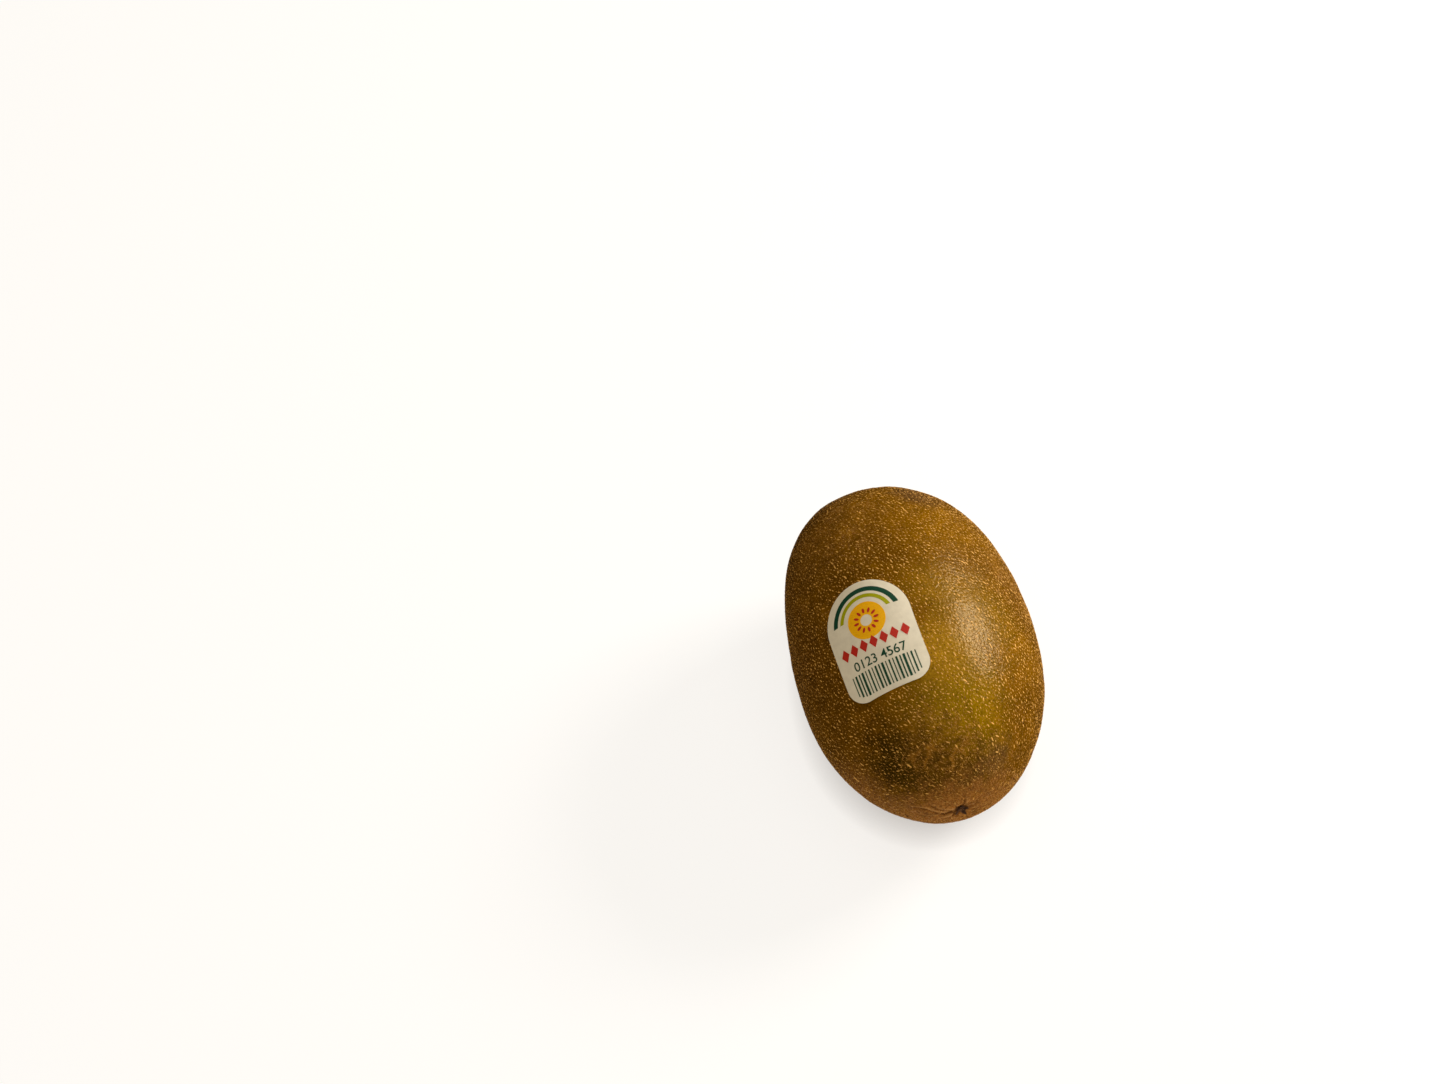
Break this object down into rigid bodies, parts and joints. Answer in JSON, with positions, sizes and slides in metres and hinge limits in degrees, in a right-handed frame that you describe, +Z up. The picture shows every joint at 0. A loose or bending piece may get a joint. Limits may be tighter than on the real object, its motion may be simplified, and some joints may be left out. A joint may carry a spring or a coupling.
{
  "type": "golden kiwi fruit",
  "caption": "Whole golden kiwi fruit lying on its side, a blunt lopsided oval with a woody stem scar, a dried blossom tip and a film sticker.",
  "frame": {"origin": "under the middle of the whole, on the plane the fruit rests on", "axes": "+Z up, +Y along the fruit from the blossom end to the stem end, +X to the right seen from the blossom end"},
  "size_m": [0.0512, 0.0768, 0.0471],
  "materials": {
    "skin": "satin",
    "film": "satin"
  },
  "bodies": {
    "root": {"fruit": "skin", "label": "film"}
  },
  "joints": []
}
